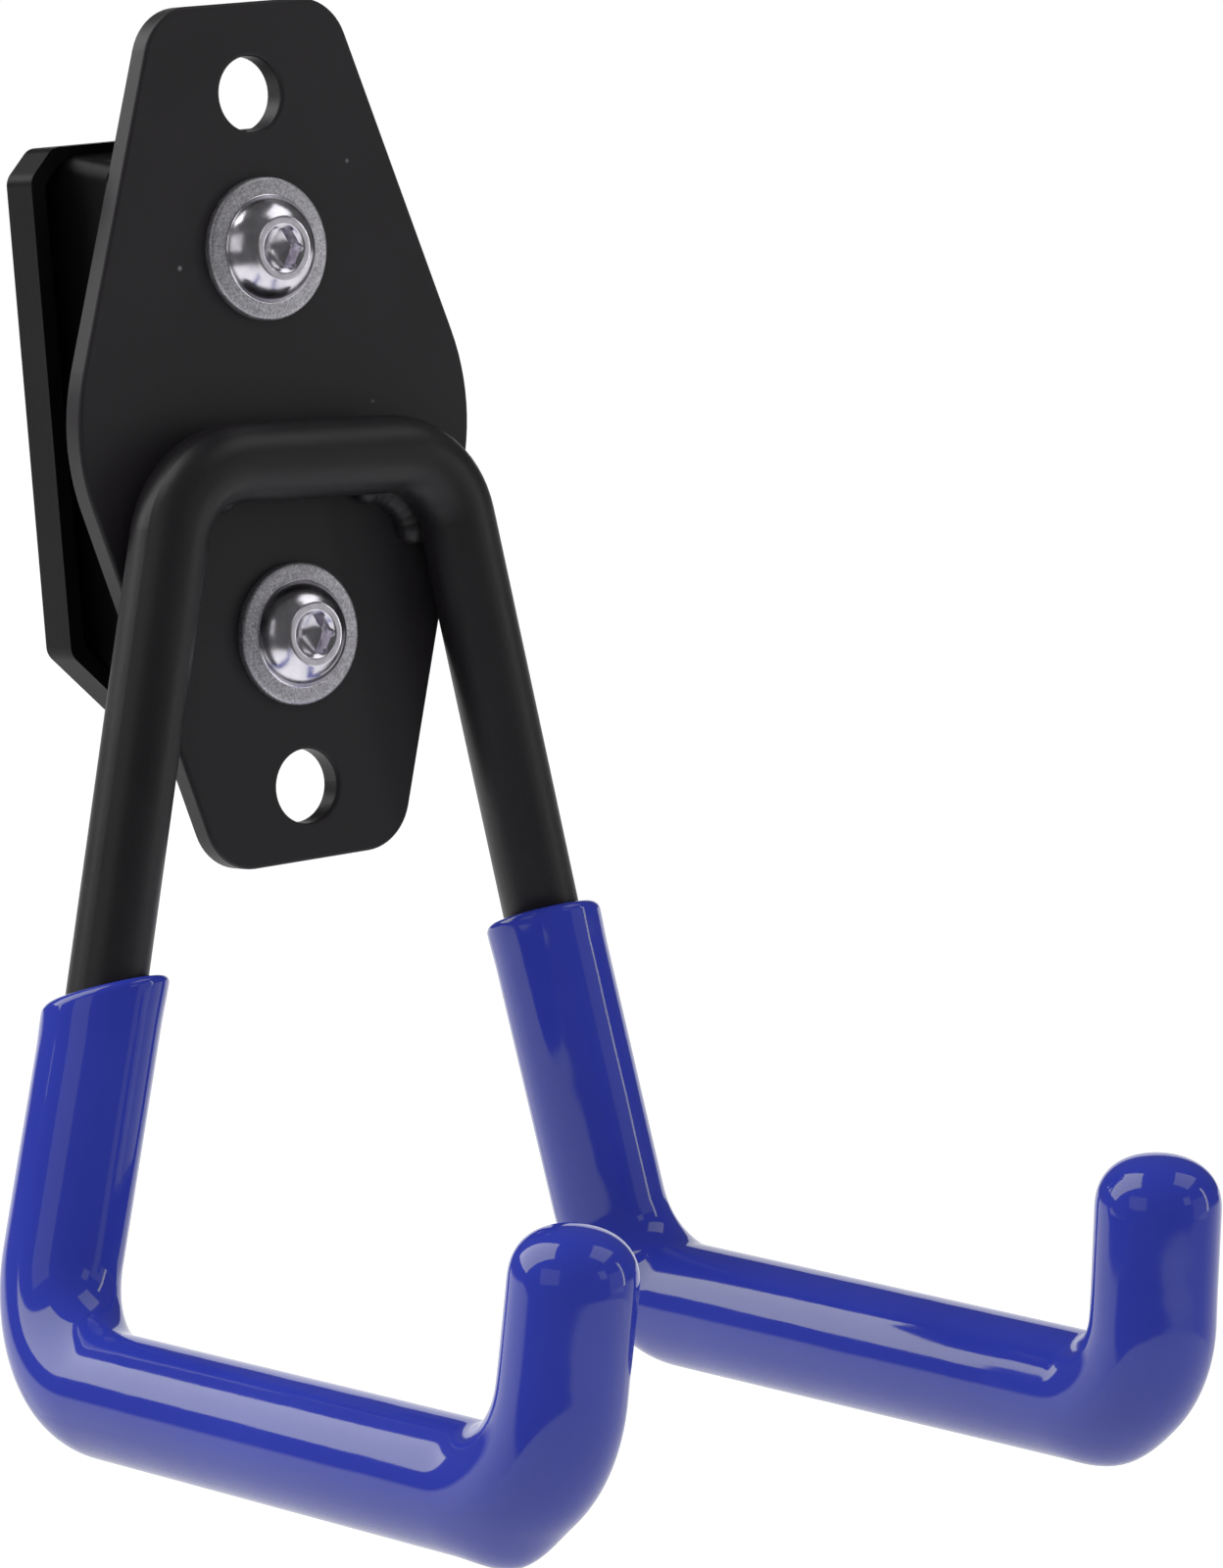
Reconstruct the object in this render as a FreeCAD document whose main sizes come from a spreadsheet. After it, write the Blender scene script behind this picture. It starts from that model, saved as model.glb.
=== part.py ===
import FreeCAD, Part
import math
import os
import Sketcher

# A garage utility hook in millimetres: a lens-shaped steel plate, a bent steel rod welded
# across it, two dipped vinyl grips and a pressed bracket behind, held by two screws and nuts.
# X runs to the right, Y into the wall and Z up. The origin lies on the plate's back face,
# midway between the two fixing holes, so the bracket is at positive Y.

os.makedirs("parts", exist_ok=True)
doc = FreeCAD.newDocument("garage_utility_hook")
V = FreeCAD.Vector

# Driving dimensions

SIZES = [
    ("screw_spacing", 48.0, "between the two screws"),
    ("screw_clearance", 0.25, "round the screw's thread in plate and bracket"),
    ("plate_thickness", 3.0, "front plate"),
    ("plate_rise", 30.5, "top edge above the upper screw"),
    ("plate_drop", 28.5, "bottom edge below the lower screw"),
    ("plate_top_width", 27.0, "top edge, to its sharp corners"),
    ("plate_bottom_width", 27.8, "bottom edge, to its sharp corners"),
    ("plate_waist_width", 62.0, "where the sides would meet"),
    ("plate_waist_drop", 21.2, "that line below the upper screw"),
    ("plate_side_radius", 28.0, "round stretch of each side"),
    ("plate_corner_radius", 7.0, "four corners"),
    ("plate_edge_round", 0.5, "front edge of the plate"),
    ("fixing_hole_diameter", 9.3, "hole at each end of the plate"),
    ("fixing_hole_offset", 19.2, "from each screw to the hole beyond it"),
    ("rod_diameter", 9.8, "coated steel rod"),
    ("crossbar_drop", 26.2, "crossbar's axis below the upper screw"),
    ("crossbar_width", 40.0, "between the legs' axes at the crossbar"),
    ("crossbar_bend", 10.5, "radius of the rod's axis"),
    ("hook_turn", 3.0, "degrees that the welded hook hangs askew, its right side low"),
    ("hook_shift", 1.25, "welded hook, to the right of the plate's middle"),
    ("leg_height", 108.6, "from the crossbar down to the arms"),
    ("foot_width", 87.7, "between the legs' axes at the arms"),
    ("arm_bend", 11.0, "radius of the rod's axis"),
    ("arm_reach", 100.0, "from the leg's axis to the tip's axis"),
    ("arm_fall", 3.5, "degrees below level"),
    ("tip_bend", 11.0, "radius of the rod's axis"),
    ("tip_rise", 26.0, "from the arm's axis to the tip's round end"),
    ("tip_uneven", 0.8, "left tip longer and right tip shorter by this"),
    ("tip_lean", 10.0, "degrees forward of upright"),
    ("grip_wall", 2.65, "vinyl round the rod"),
    ("grip_drop", 87.2, "grip's rim below the upper screw"),
    ("grip_tilt", 15.0, "degrees that the rim rises toward the front"),
    ("grip_rim_round", 0.9, "outer edge of the rim"),
    ("grip_end_cover", 4.4, "vinyl over the rod's end"),
    ("bracket_sheet", 2.0, "pressed sheet"),
    ("bracket_depth", 13.0, "from the wall to the plate's back"),
    ("bracket_width", 53.2, "outside the rim"),
    ("bracket_rise", 14.6, "top above the upper screw"),
    ("bracket_tail", 11.4, "bottom below the lower screw"),
    ("bracket_top_cut", 3.6, "chamfer of each top corner"),
    ("bracket_bottom_cut", 11.5, "chamfer of each bottom corner"),
    ("bracket_corner_round", 2.2, "where chamfers meet sides"),
    ("rim_height", 5.5, "bracket's rim, from the wall"),
    ("crown_width", 41.0, "bracket's raised middle, at the plate"),
    ("crown_margin", 2.5, "from the bracket's ends to the raised middle"),
    ("crown_cut", 8.0, "chamfer of its bottom corners"),
    ("crown_draft", 10.0, "degrees of slope of its sides"),
    ("thread_diameter", 8.0, "both screws"),
    ("thread_length", 12.0, "under the head"),
    ("flange_diameter", 17.8, "screw's flange"),
    ("flange_height", 1.3, "screw's flange"),
    ("dome_diameter", 13.2, "screw's button, at the flange"),
    ("dome_flat", 8.0, "flat top of the button"),
    ("dome_curve", 5.0, "radius of the button's side"),
    ("head_height", 4.4, "flange and button"),
    ("socket_flats", 5.0, "hexagon socket"),
    ("socket_depth", 2.7, "hexagon socket"),
    ("nut_flats", 13.0, "hexagon nut"),
    ("nut_height", 6.5, "hexagon nut"),
    ("nut_face_share", 0.95, "round face of the nut, as a share of its width across flats"),
    ("nut_chamfer", 30.0, "degrees of the nut's chamfers"),
    ("weld_radius", 2.2, "bead in the notch between rod and plate"),
    ("weld_run", 0.4, "bead beyond each end of the bend"),
]

sheet = doc.addObject("Spreadsheet::Sheet", "Sizes")
for row, (alias, value, note) in enumerate(SIZES, start=1):
    sheet.set("A%d" % row, alias)
    sheet.set("B%d" % row, str(value))
    sheet.set("C%d" % row, note)
    sheet.setAlias("B%d" % row, alias)
doc.recompute()


def size(alias):
    """Value of one driving dimension."""
    return float(getattr(sheet, alias))


# Helpers

nodes = []


def new_body(label):
    body = doc.addObject("PartDesign::Body", label)
    body.Label = label
    nodes.append(body)
    return body


def plane_of(body, role):
    for feature in body.Origin.OriginFeatures:
        if feature.Role == role:
            return feature


def new_sketch(body, name, role, offset=None):
    """Sketch on an origin plane, moved along the plane's normal by an expression."""
    sketch = body.newObject("Sketcher::SketchObject", name)
    sketch.AttachmentSupport = [(plane_of(body, role), "")]
    sketch.MapMode = "FlatFace"
    if offset:
        sketch.setExpression("AttachmentOffset.Base.z", offset)
    doc.recompute()
    return sketch


def bind(sketch, index, name, expression):
    sketch.renameConstraint(index, name)
    sketch.setExpression("Constraints." + name, expression)


def place_point(sketch, name, geometry, position, across, along, x, y):
    """Hold a point of the sketch at two expressions, measured from the sketch's origin."""
    tied = Sketcher.Constraint("DistanceX", -1, 1, geometry, position, x)
    if x < 0:
        tied = Sketcher.Constraint("DistanceX", geometry, position, -1, 1, -x)
    bind(sketch, sketch.addConstraint(tied), name + "_x", across)
    tied = Sketcher.Constraint("DistanceY", -1, 1, geometry, position, y)
    if y < 0:
        tied = Sketcher.Constraint("DistanceY", geometry, position, -1, 1, -y)
    bind(sketch, sketch.addConstraint(tied), name + "_y", along)


def value_of(expression):
    """Value of an expression of the sheet, for a sketch's first shape."""
    return float(sheet.evalExpression(expression))


def rounded_outline(sketch, corners):
    """Closed outline through sharp corners, each with its own radius.

    A corner is (name, side, x expression, y sign, y expression, radius expression).
    Both expressions are positive; side and y sign say on which side of the origin they lie.
    """
    sharp = []
    for name, side, across, up, along, radius in corners:
        sharp.append(V(side * value_of(across), up * value_of(along), 0))
    count = len(corners)
    ends = []
    for i, corner in enumerate(corners):
        before = (sharp[i - 1] - sharp[i]).normalize()
        after = (sharp[(i + 1) % count] - sharp[i]).normalize()
        reach = value_of(corner[5]) / math.tan(before.getAngle(after) / 2)
        ends.append((sharp[i] + before * reach, sharp[i] + after * reach))
    lines = []
    arcs = []
    joints = []
    for i in range(count):
        line = Part.LineSegment(ends[i][1], ends[(i + 1) % count][0])
        lines.append(sketch.addGeometry(line, False))
    for i in range(count):
        start, stop = ends[i]
        radius = value_of(corners[i][5])
        bisector = ((start + stop) * 0.5 - sharp[i]).normalize()
        half = (start - sharp[i]).getAngle(stop - sharp[i]) / 2
        centre = sharp[i] + bisector * (radius / math.sin(half))
        turns_left = (start - centre).cross(stop - centre).z > 0
        first, last = (start, stop) if turns_left else (stop, start)
        begin = math.atan2(first.y - centre.y, first.x - centre.x)
        sweep = (first - centre).getAngle(last - centre)
        arc = Part.ArcOfCircle(Part.Circle(centre, V(0, 0, 1), radius), begin, begin + sweep)
        arcs.append(sketch.addGeometry(arc, False))
        near, far = (1, 2) if turns_left else (2, 1)
        joints.append((near, far))
    for i in range(count):
        near, far = joints[i]
        sketch.addConstraint(Sketcher.Constraint("Tangent", lines[i - 1], 2, arcs[i], near))
        sketch.addConstraint(Sketcher.Constraint("Tangent", lines[i], 1, arcs[i], far))
        held = Sketcher.Constraint("Radius", arcs[i], value_of(corners[i][5]))
        bind(sketch, sketch.addConstraint(held), corners[i][0] + "_radius", corners[i][5])
    for i, (name, side, across, up, along, radius) in enumerate(corners):
        mark = sketch.addGeometry(Part.Point(sharp[i]), True)
        sketch.addConstraint(Sketcher.Constraint("PointOnObject", mark, 1, lines[i]))
        sketch.addConstraint(Sketcher.Constraint("PointOnObject", mark, 1, lines[i - 1]))
        place_point(sketch, name, mark, 1, across, along, sharp[i].x, sharp[i].y)
    doc.recompute()


def add_circle(sketch, name, diameter, up=0, along=None):
    """Circle at the origin, or on the vertical axis: up is 1 or -1, along the distance."""
    y = up * value_of(along) if along else 0
    ring = sketch.addGeometry(Part.Circle(V(0, y, 0), V(0, 0, 1), value_of(diameter) / 2), False)
    bind(sketch, sketch.addConstraint(Sketcher.Constraint("Diameter", ring, value_of(diameter))),
         name + "_diameter", diameter)
    if not along:
        sketch.addConstraint(Sketcher.Constraint("Coincident", ring, 3, -1, 1))
        return
    sketch.addConstraint(Sketcher.Constraint("PointOnObject", ring, 3, -2))
    tied = Sketcher.Constraint("DistanceY", -1, 1, ring, 3, y)
    if y < 0:
        tied = Sketcher.Constraint("DistanceY", ring, 3, -1, 1, -y)
    bind(sketch, sketch.addConstraint(tied), name + "_y", along)


def sunk_or_raised(kind, body, name, sketch, length):
    """Pad or pocket of a sketch, with its length bound to an expression."""
    feature = body.newObject(kind, name)
    feature.Profile = sketch
    feature.setExpression("Length", length)
    doc.recompute()
    return feature


def pad(body, name, sketch, length):
    return sunk_or_raised("PartDesign::Pad", body, name, sketch, length)


def pocket(body, name, sketch, length):
    return sunk_or_raised("PartDesign::Pocket", body, name, sketch, length)


# Front plate: lens-shaped sheet with two screw holes and two fixing holes

PLATE_FRONT = "Sizes.plate_thickness"
UPPER_SCREW = "Sizes.screw_spacing / 2"

plate = new_body("front_plate")
plate.setExpression("Placement.Base.z", UPPER_SCREW)
outline = new_sketch(plate, "plate_outline", "XZ_Plane")
top_half = "Sizes.plate_top_width / 2"
waist_half = "Sizes.plate_waist_width / 2"
bottom_half = "Sizes.plate_bottom_width / 2"
bottom_edge = "Sizes.screw_spacing + Sizes.plate_drop"
corner = "Sizes.plate_corner_radius"
rounded_outline(outline, [
    ("top_right", 1, top_half, 1, "Sizes.plate_rise", corner),
    ("waist_right", 1, waist_half, -1, "Sizes.plate_waist_drop", "Sizes.plate_side_radius"),
    ("bottom_right", 1, bottom_half, -1, bottom_edge, corner),
    ("bottom_left", -1, bottom_half, -1, bottom_edge, corner),
    ("waist_left", -1, waist_half, -1, "Sizes.plate_waist_drop", "Sizes.plate_side_radius"),
    ("top_left", -1, top_half, 1, "Sizes.plate_rise", corner),
])
pad(plate, "plate_sheet", outline, "Sizes.plate_thickness")

SCREW_HOLE = "Sizes.thread_diameter + 2 * Sizes.screw_clearance"
LOWER_HOLE = "Sizes.screw_spacing + Sizes.fixing_hole_offset"
holes = new_sketch(plate, "plate_holes", "XZ_Plane", PLATE_FRONT)
add_circle(holes, "upper_screw", SCREW_HOLE)
add_circle(holes, "lower_screw", SCREW_HOLE, -1, "Sizes.screw_spacing")
add_circle(holes, "upper_fixing", "Sizes.fixing_hole_diameter", 1, "Sizes.fixing_hole_offset")
add_circle(holes, "lower_fixing", "Sizes.fixing_hole_diameter", -1, LOWER_HOLE)
pierced = pocket(plate, "plate_openings", holes, "Sizes.plate_thickness")


def edges_on_plane(shape, y):
    """Names of the edges that lie wholly on the plane at Y = y."""
    names = []
    for i, edge in enumerate(shape.Edges, start=1):
        box = edge.BoundBox
        if abs(box.YMin - y) < 1e-6 and abs(box.YMax - y) < 1e-6:
            names.append("Edge%d" % i)
    return names


front_y = -value_of(PLATE_FRONT)
rounding = plate.newObject("PartDesign::Fillet", "plate_edge")
rounding.Base = (pierced, edges_on_plane(pierced.Shape, front_y))
rounding.setExpression("Radius", "Sizes.plate_edge_round")
doc.recompute()


# Hook rod: one steel rod, bent six times, swept along its axis


def bent_path(corners, radii):
    """Wire through sharp corners with a round bend at each inner one."""
    edges = []
    start = corners[0]
    for i in range(1, len(corners) - 1):
        before = (corners[i - 1] - corners[i]).normalize()
        after = (corners[i + 1] - corners[i]).normalize()
        half = before.getAngle(after) / 2
        reach = radii[i - 1] / math.tan(half)
        enter = corners[i] + before * reach
        leave = corners[i] + after * reach
        bisector = (before + after).normalize()
        middle = corners[i] + bisector * (radii[i - 1] / math.sin(half) - radii[i - 1])
        edges.append(Part.LineSegment(start, enter).toShape())
        edges.append(Part.Arc(enter, middle, leave).toShape())
        start = leave
    edges.append(Part.LineSegment(start, corners[-1]).toShape())
    return Part.Wire(edges)


def swept_rod(name, corners, radii, radius):
    """Round bar of one radius along a bent axis."""
    axis = doc.addObject("Part::Feature", name + "_axis")
    axis.Shape = bent_path(corners, radii)
    ring = doc.addObject("Part::Circle", name + "_section")
    ring.setExpression("Radius", radius)
    direction = (corners[1] - corners[0]).normalize()
    ring.Placement = FreeCAD.Placement(corners[0], FreeCAD.Rotation(V(0, 0, 1), direction))
    sweep = doc.addObject("Part::Sweep", name)
    sweep.Sections = [ring]
    sweep.Spine = (axis, ["Edge%d" % (i + 1) for i in range(len(axis.Shape.Edges))])
    sweep.Solid = True
    sweep.Frenet = False
    doc.recompute()
    return sweep


rod_y = -size("plate_thickness") - size("rod_diameter") / 2
upper_screw_z = size("screw_spacing") / 2
shoulder = V(size("crossbar_width") / 2, rod_y, upper_screw_z - size("crossbar_drop"))
foot = V(size("foot_width") / 2, rod_y, shoulder.z - size("leg_height"))
fall = math.radians(size("arm_fall"))
lean = math.radians(size("tip_lean"))
knuckle = foot + V(0, -math.cos(fall), -math.sin(fall)) * size("arm_reach")
tip_direction = V(0, -math.sin(lean), math.cos(lean))
end_cover = size("rod_diameter") / 2 + size("grip_wall") - size("grip_end_cover")


bar_middle = V(0, rod_y, shoulder.z)
askew = FreeCAD.Rotation(V(0, 1, 0), size("hook_turn"))


def on_side(side, point):
    """Point of the right half, brought to its side (1 or -1) and set askew with the hook."""
    away = V(side * point.x, point.y, point.z) - bar_middle
    return bar_middle + askew.multVec(away) + V(size("hook_shift"), 0, 0)


def tip_centre(side):
    """Middle of the tip's round end, before it is brought to its side."""
    return knuckle + tip_direction * (size("tip_rise") - side * size("tip_uneven"))


def half_corners(side):
    """Sharp corners of half the rod, from its free end to the crossbar."""
    rod_end = tip_centre(side) + tip_direction * end_cover
    return [on_side(side, point) for point in (rod_end, knuckle, foot, shoulder)]


half_bends = [size("tip_bend"), size("arm_bend"), size("crossbar_bend")]
rod = swept_rod("hook_rod", half_corners(1) + half_corners(-1)[::-1],
                half_bends + half_bends[::-1], "Sizes.rod_diameter / 2")
rod.Label = "hook_rod"
nodes.append(rod)


# Grips: vinyl dipped over each arm, with a round end and a slanting rim

leg_direction = (shoulder - foot).normalize()
rim_z = upper_screw_z - size("grip_drop")
rim_share = (rim_z - foot.z) / (shoulder.z - foot.z)
rim_centre = foot + (shoulder - foot) * rim_share
DIP_ROOM = 12.0
dip_turn = FreeCAD.Rotation(V(1, 0, 0), -size("grip_tilt"))
dip_box_side = 4 * size("arm_reach")
dip_middle = dip_turn.multVec(V(dip_box_side / 2, dip_box_side / 2, 0))


def slanting_edge(shape):
    """Name of the long edge that the dipping level leaves on the grip."""
    normal = dip_turn.multVec(V(0, 0, 1))
    level = V(0, rod_y, rim_z)
    for i, edge in enumerate(shape.Edges, start=1):
        points = edge.discretize(9)
        if max(abs((point - level).dot(normal)) for point in points) < 1e-4:
            return "Edge%d" % i


def make_grip(label, side):
    """Vinyl tube round one leg, arm and tip; side is 1 for right and -1 for left."""
    above = rim_centre + leg_direction * DIP_ROOM
    route = [on_side(side, point) for point in (above, foot, knuckle, tip_centre(side))]
    tube = swept_rod(label + "_tube", route, [size("arm_bend"), size("tip_bend")],
                     "Sizes.rod_diameter / 2 + Sizes.grip_wall")
    dome = doc.addObject("Part::Sphere", label + "_dome")
    dome.setExpression("Radius", "Sizes.rod_diameter / 2 + Sizes.grip_wall")
    dome.Placement.Base = route[-1]
    skin = doc.addObject("Part::Fuse", label + "_skin")
    skin.Base = tube
    skin.Tool = dome
    level = doc.addObject("Part::Box", label + "_level")
    level.Length = dip_box_side
    level.Width = dip_box_side
    level.Height = 6 * DIP_ROOM
    level.Placement = FreeCAD.Placement(V(0, rod_y, rim_z) - dip_middle, dip_turn)
    dipped = doc.addObject("Part::Cut", label + "_dipped")
    dipped.Base = skin
    dipped.Tool = level
    doc.recompute()
    rim = doc.addObject("Part::Fillet", label + "_rim")
    rim.Base = dipped
    edge = int(slanting_edge(dipped.Shape)[4:])
    rim.Edges = [(edge, size("grip_rim_round"), size("grip_rim_round"))]
    grip = doc.addObject("Part::Cut", label)
    grip.Base = rim
    grip.Tool = rod
    grip.Label = label
    doc.recompute()
    nodes.append(grip)


make_grip("right_grip", 1)
make_grip("left_grip", -1)


# Welds: a bead in the notch between rod and plate, inside each bend of the crossbar

WELD_SINK = 0.35
notch = size("rod_diameter") / 2 - WELD_SINK * size("weld_radius")
bead_bend = size("crossbar_bend") - notch
inward = V(-1, 0, 0)
half_angle = inward.getAngle(-leg_direction) / 2
bead_corner = shoulder + (inward - leg_direction).normalize() * (notch / math.sin(half_angle))
bead_corner.y = front_y - WELD_SINK * size("weld_radius")
bead_reach = bead_bend / math.tan(half_angle) + size("weld_run")


def make_weld(label, side):
    route = [on_side(side, bead_corner + inward * bead_reach), on_side(side, bead_corner),
             on_side(side, bead_corner - leg_direction * bead_reach)]
    bead = swept_rod(label + "_bead", route, [bead_bend], "Sizes.weld_radius")
    ends = []
    for name, middle in (("inner", route[0]), ("lower", route[2])):
        ball = doc.addObject("Part::Sphere", label + "_" + name + "_end")
        ball.setExpression("Radius", "Sizes.weld_radius")
        ball.Placement.Base = middle
        ends.append(ball)
    whole = doc.addObject("Part::MultiFuse", label + "_whole")
    whole.Shapes = [bead] + ends
    trimmed = doc.addObject("Part::Cut", label + "_on_rod")
    trimmed.Base = whole
    trimmed.Tool = rod
    weld = doc.addObject("Part::Cut", label)
    weld.Base = trimmed
    weld.Tool = plate
    weld.Label = label
    doc.recompute()
    nodes.append(weld)


make_weld("right_weld", 1)
make_weld("left_weld", -1)


# Rail bracket: pressed sheet with a rim round its edge and a raised middle for the screws

bracket = new_body("rail_bracket")
bracket.setExpression("Placement.Base.y", "Sizes.bracket_depth")
bracket.setExpression("Placement.Base.z", UPPER_SCREW)
half_width = "Sizes.bracket_width / 2"
BOTTOM = "Sizes.screw_spacing + Sizes.bracket_tail"
SHEET = "Sizes.bracket_sheet"


def chamfered_outline(sketch, inset="0"):
    """Bracket's outline, all round smaller by the inset, with rounded chamfer corners."""
    top_cut = "(Sizes.bracket_top_cut - (2 - sqrt(2)) * %s)" % inset
    bottom_cut = "(Sizes.bracket_bottom_cut - (2 - sqrt(2)) * %s)" % inset
    side = "%s - %s" % (half_width, inset)
    top = "Sizes.bracket_rise - %s" % inset
    bottom = "%s - %s" % (BOTTOM, inset)
    bend = "Sizes.bracket_corner_round"
    top_in = "%s - %s" % (side, top_cut)
    bottom_in = "%s - %s" % (side, bottom_cut)
    right = [
        ("a", 1, top_in, 1, top, bend),
        ("b", 1, side, 1, "%s - %s" % (top, top_cut), bend),
        ("c", 1, side, -1, "%s - %s" % (bottom, bottom_cut), bend),
        ("d", 1, bottom_in, -1, bottom, bend),
    ]
    left = [("m" + name, -1, across, up, along, radius) for name, one, across, up, along, radius
            in reversed(right)]
    rounded_outline(sketch, right + left)


edge_outline = new_sketch(bracket, "bracket_outline", "XZ_Plane")
chamfered_outline(edge_outline)
pad(bracket, "bracket_tray", edge_outline, "Sizes.rim_height")
tray_outline = new_sketch(bracket, "bracket_recess_outline", "XZ_Plane", "Sizes.rim_height")
chamfered_outline(tray_outline, SHEET)
pocket(bracket, "bracket_recess", tray_outline, "Sizes.rim_height - Sizes.bracket_sheet")


def crown_outline(sketch, growth="0"):
    """Raised middle's outline, larger all round by the growth, with cut lower corners."""
    side = "Sizes.crown_width / 2 + %s" % growth
    top = "Sizes.bracket_rise - Sizes.crown_margin + %s" % growth
    bottom = "%s - Sizes.crown_margin + %s" % (BOTTOM, growth)
    cut = "(Sizes.crown_cut + (2 - sqrt(2)) * %s)" % growth
    bend = "Sizes.bracket_corner_round"
    right = [
        ("a", 1, side, 1, top, bend),
        ("b", 1, side, -1, "%s - %s" % (bottom, cut), bend),
        ("c", 1, "%s - %s" % (side, cut), -1, bottom, bend),
    ]
    left = [("m" + name, -1, across, up, along, radius) for name, one, across, up, along, radius
            in reversed(right)]
    rounded_outline(sketch, right + left)


DRAFT = "tan(Sizes.crown_draft * 1 deg)"
crown_foot = new_sketch(bracket, "crown_foot", "XZ_Plane", "0.5 * Sizes.bracket_sheet")
crown_outline(crown_foot, "(Sizes.bracket_depth - 0.5 * Sizes.bracket_sheet) * " + DRAFT)
crown_top = new_sketch(bracket, "crown_top", "XZ_Plane", "Sizes.bracket_depth")
crown_outline(crown_top)
crown = bracket.newObject("PartDesign::AdditiveLoft", "crown")
crown.Profile = crown_foot
crown.Sections = [crown_top]
crown.Ruled = True
doc.recompute()
hollow_foot = new_sketch(bracket, "hollow_foot", "XZ_Plane")
crown_outline(hollow_foot, "(Sizes.bracket_depth * %s - Sizes.bracket_sheet)" % DRAFT)
hollow_top = new_sketch(bracket, "hollow_top", "XZ_Plane", "Sizes.bracket_depth - Sizes.bracket_sheet")
crown_outline(hollow_top, "(Sizes.bracket_sheet * %s - Sizes.bracket_sheet)" % DRAFT)
hollow = bracket.newObject("PartDesign::SubtractiveLoft", "crown_hollow")
hollow.Profile = hollow_foot
hollow.Sections = [hollow_top]
hollow.Ruled = True
doc.recompute()
bores = new_sketch(bracket, "bracket_holes", "XZ_Plane", "Sizes.bracket_depth")
add_circle(bores, "upper_screw", SCREW_HOLE)
add_circle(bores, "lower_screw", SCREW_HOLE, -1, "Sizes.screw_spacing")
pocket(bracket, "bracket_bores", bores, "2 * Sizes.bracket_sheet")


# Screws and nuts


def hexagon(sketch, flats):
    """Regular hexagon round the sketch's origin, set by its width across flats."""
    ring_size = value_of(flats) / math.sqrt(3)
    ring = sketch.addGeometry(Part.Circle(V(0, 0, 0), V(0, 0, 1), ring_size), True)
    sketch.addConstraint(Sketcher.Constraint("Coincident", ring, 3, -1, 1))
    bind(sketch, sketch.addConstraint(Sketcher.Constraint("Radius", ring, ring_size)), "corner_circle",
         flats + " / sqrt(3)")
    tips = []
    for i in range(6):
        turn = math.radians(60 * i)
        tips.append(V(ring_size * math.cos(turn), ring_size * math.sin(turn), 0))
    sides = [sketch.addGeometry(Part.LineSegment(tips[i], tips[(i + 1) % 6]), False) for i in range(6)]
    for i in range(6):
        sketch.addConstraint(Sketcher.Constraint("Coincident", sides[i - 1], 2, sides[i], 1))
        sketch.addConstraint(Sketcher.Constraint("PointOnObject", sides[i], 1, ring))
    for i in range(1, 6):
        sketch.addConstraint(Sketcher.Constraint("Equal", sides[0], sides[i]))
    sketch.addConstraint(Sketcher.Constraint("PointOnObject", sides[0], 1, -1))
    doc.recompute()


def bulging_arc(start, stop, radius):
    """Arc from start to stop that turns left all the way, so it bulges out of the profile."""
    chord = stop - start
    rise = math.sqrt(radius ** 2 - (chord.Length / 2) ** 2)
    centre = (start + stop) * 0.5 + V(-chord.y, chord.x, 0).normalize() * rise
    begin = math.atan2(start.y - centre.y, start.x - centre.x)
    sweep = (start - centre).getAngle(stop - centre)
    return Part.ArcOfCircle(Part.Circle(centre, V(0, 0, 1), radius), begin, begin + sweep)


def closed_profile(sketch, points, curves=None):
    """Closed profile through points, anticlockwise; curves give the radius after a point.

    A point is (name, x sign, x expression, y expression).
    """
    places = [V(side * value_of(along), value_of(out), 0) for name, side, along, out in points]
    count = len(points)
    parts = []
    for i in range(count):
        start, stop = places[i], places[(i + 1) % count]
        curve = (curves or {}).get(points[i][0])
        shape = bulging_arc(start, stop, value_of(curve)) if curve else Part.LineSegment(start, stop)
        parts.append(sketch.addGeometry(shape, False))
    for i in range(count):
        sketch.addConstraint(Sketcher.Constraint("Coincident", parts[i - 1], 2, parts[i], 1))
        name, side, along, out = points[i]
        place_point(sketch, name, parts[i], 1, along, out, places[i].x, places[i].y)
        curve = (curves or {}).get(name)
        if curve:
            held = sketch.addConstraint(Sketcher.Constraint("Radius", parts[i], value_of(curve)))
            bind(sketch, held, name + "_curve", curve)
    doc.recompute()


def turn_round(body, kind, name, sketch):
    feature = body.newObject(kind, name)
    feature.Profile = sketch
    feature.ReferenceAxis = (sketch, ["H_Axis"])
    feature.Angle = 360
    doc.recompute()
    return feature


def seat(body, forward, drop):
    """Place a fastener at a depth in the wall's direction and a drop below the upper screw."""
    body.setExpression("Placement.Base.y", forward)
    body.setExpression("Placement.Base.z", "%s - %s" % (UPPER_SCREW, drop))
    doc.recompute()


NONE = "0"
THREAD = "Sizes.thread_diameter / 2"
FLANGE = "Sizes.flange_diameter / 2"
LEAD = "0.1 * Sizes.thread_diameter"


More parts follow.
